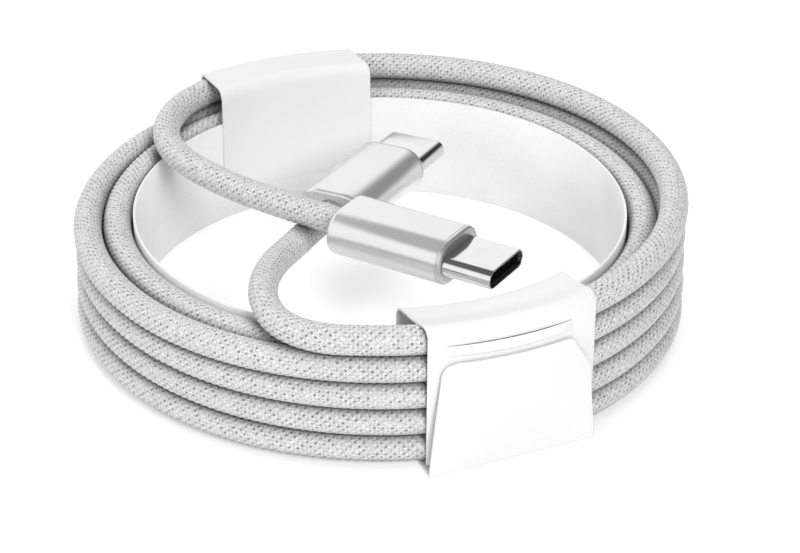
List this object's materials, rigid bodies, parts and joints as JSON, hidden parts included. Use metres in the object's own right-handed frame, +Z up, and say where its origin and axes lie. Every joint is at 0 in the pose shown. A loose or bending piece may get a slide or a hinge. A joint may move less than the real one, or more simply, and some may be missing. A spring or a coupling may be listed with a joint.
{
  "type": "coiled charging cable",
  "caption": "Braided charging cable with a small oval plug at each end, wound into a flat ring and held by two folded paper wraps with tuck-in tongues.",
  "frame": {"origin": "middle of the underside of the paper wraps, on the axis of the cord ring", "axes": "+Z up along the axis of the ring; the front wrap is towards -Y and the upper plug points towards +X and -Y"},
  "size_m": [0.0738, 0.0771, 0.0185],
  "materials": {
    "cord_braid": "woven",
    "wrap_card": "matte",
    "band_card": "matte",
    "plug_moulding": "glossy",
    "plug_collar": "satin",
    "plug_steel": "polished",
    "insulator": "matte",
    "contact_gold": "plated",
    "spring_steel": "rolled",
    "board": "solder mask",
    "board_parts": "matte",
    "can_steel": "rolled",
    "conductor_skin": "extruded"
  },
  "bodies": {
    "root": {"cord_coil": "cord_braid", "cord_tail_lower": "cord_braid", "cord_tail_upper": "cord_braid", "front_base_strap": "wrap_card", "front_top_strap": "wrap_card", "lower_plug_board": "board", "lower_plug_board_parts": "board_parts", "lower_plug_body": "plug_moulding", "lower_plug_collar": "plug_collar", "lower_plug_conductors": "conductor_skin", "lower_plug_crimp_ferrule": "can_steel", "lower_plug_ground_springs": "spring_steel", "lower_plug_insulator": "insulator", "lower_plug_mid_plate": "spring_steel", "lower_plug_shell": "plug_steel", "lower_plug_shield_can": "can_steel", "lower_plug_solder_tails": "contact_gold", "rear_base_strap": "wrap_card", "rear_top_strap": "wrap_card", "ring_band": "band_card", "upper_plug_board": "board", "upper_plug_board_parts": "board_parts", "upper_plug_body": "plug_moulding", "upper_plug_collar": "plug_collar", "upper_plug_conductors": "conductor_skin", "upper_plug_crimp_ferrule": "can_steel", "upper_plug_ground_springs": "spring_steel", "upper_plug_insulator": "insulator", "upper_plug_mid_plate": "spring_steel", "upper_plug_shell": "plug_steel", "upper_plug_shield_can": "can_steel", "upper_plug_solder_tails": "contact_gold"},
    "front_tongue": {"front_tongue": "wrap_card"},
    "rear_tongue": {"rear_tongue": "wrap_card"},
    "upper_plug_top_contacts": {"upper_plug_top_contacts": "contact_gold"},
    "upper_plug_bottom_contacts": {"upper_plug_bottom_contacts": "contact_gold"},
    "upper_plug_left_latch": {"upper_plug_left_latch": "spring_steel"},
    "upper_plug_right_latch": {"upper_plug_right_latch": "spring_steel"},
    "lower_plug_top_contacts": {"lower_plug_top_contacts": "contact_gold"},
    "lower_plug_bottom_contacts": {"lower_plug_bottom_contacts": "contact_gold"},
    "lower_plug_left_latch": {"lower_plug_left_latch": "spring_steel"},
    "lower_plug_right_latch": {"lower_plug_right_latch": "spring_steel"}
  },
  "joints": [
    {"name": "front_tongue_fold", "type": "hinge", "parent": "root", "child": "front_tongue", "pos_m": [0.01527, -0.0343, 0.00015], "axis": [0.9135, 0.4067, 0], "range_deg": [0, 90]},
    {"name": "rear_tongue_fold", "type": "hinge", "parent": "root", "child": "rear_tongue", "pos_m": [-0.01467, 0.03456, 0.00015], "axis": [-0.9205, -0.3907, 0], "range_deg": [0, 90]},
    {"name": "upper_plug_top_contacts_give", "type": "slide", "parent": "root", "child": "upper_plug_top_contacts", "axis": [0.0177, 0.0301, 0.9994], "range_m": [0, 0.00015], "stiffness_N_per_m": 60},
    {"name": "upper_plug_bottom_contacts_give", "type": "slide", "parent": "root", "child": "upper_plug_bottom_contacts", "axis": [-0.0177, -0.0301, -0.9994], "range_m": [0, 0.00015], "stiffness_N_per_m": 60},
    {"name": "upper_plug_left_latch_give", "type": "slide", "parent": "root", "child": "upper_plug_left_latch", "axis": [0.5057, 0.862, -0.0349], "range_m": [0, 0.00015], "stiffness_N_per_m": 60},
    {"name": "upper_plug_right_latch_give", "type": "slide", "parent": "root", "child": "upper_plug_right_latch", "axis": [-0.5057, -0.862, 0.0349], "range_m": [0, 0.00015], "stiffness_N_per_m": 60},
    {"name": "lower_plug_top_contacts_give", "type": "slide", "parent": "root", "child": "lower_plug_top_contacts", "axis": [-0.0485, 0.0276, 0.9984], "range_m": [0, 0.00015], "stiffness_N_per_m": 60},
    {"name": "lower_plug_bottom_contacts_give", "type": "slide", "parent": "root", "child": "lower_plug_bottom_contacts", "axis": [0.0485, -0.0276, -0.9984], "range_m": [0, 0.00015], "stiffness_N_per_m": 60},
    {"name": "lower_plug_left_latch_give", "type": "slide", "parent": "root", "child": "lower_plug_left_latch", "axis": [-0.8681, 0.4932, -0.0558], "range_m": [0, 0.00015], "stiffness_N_per_m": 60},
    {"name": "lower_plug_right_latch_give", "type": "slide", "parent": "root", "child": "lower_plug_right_latch", "axis": [0.8681, -0.4932, 0.0558], "range_m": [0, 0.00015], "stiffness_N_per_m": 60}
  ],
  "couplings": [
    {"joint": "upper_plug_bottom_contacts_give", "follows": "upper_plug_top_contacts_give", "ratio": 1},
    {"joint": "upper_plug_left_latch_give", "follows": "upper_plug_top_contacts_give", "ratio": 1},
    {"joint": "upper_plug_right_latch_give", "follows": "upper_plug_top_contacts_give", "ratio": 1},
    {"joint": "lower_plug_bottom_contacts_give", "follows": "lower_plug_top_contacts_give", "ratio": 1},
    {"joint": "lower_plug_left_latch_give", "follows": "lower_plug_top_contacts_give", "ratio": 1},
    {"joint": "lower_plug_right_latch_give", "follows": "lower_plug_top_contacts_give", "ratio": 1}
  ]
}
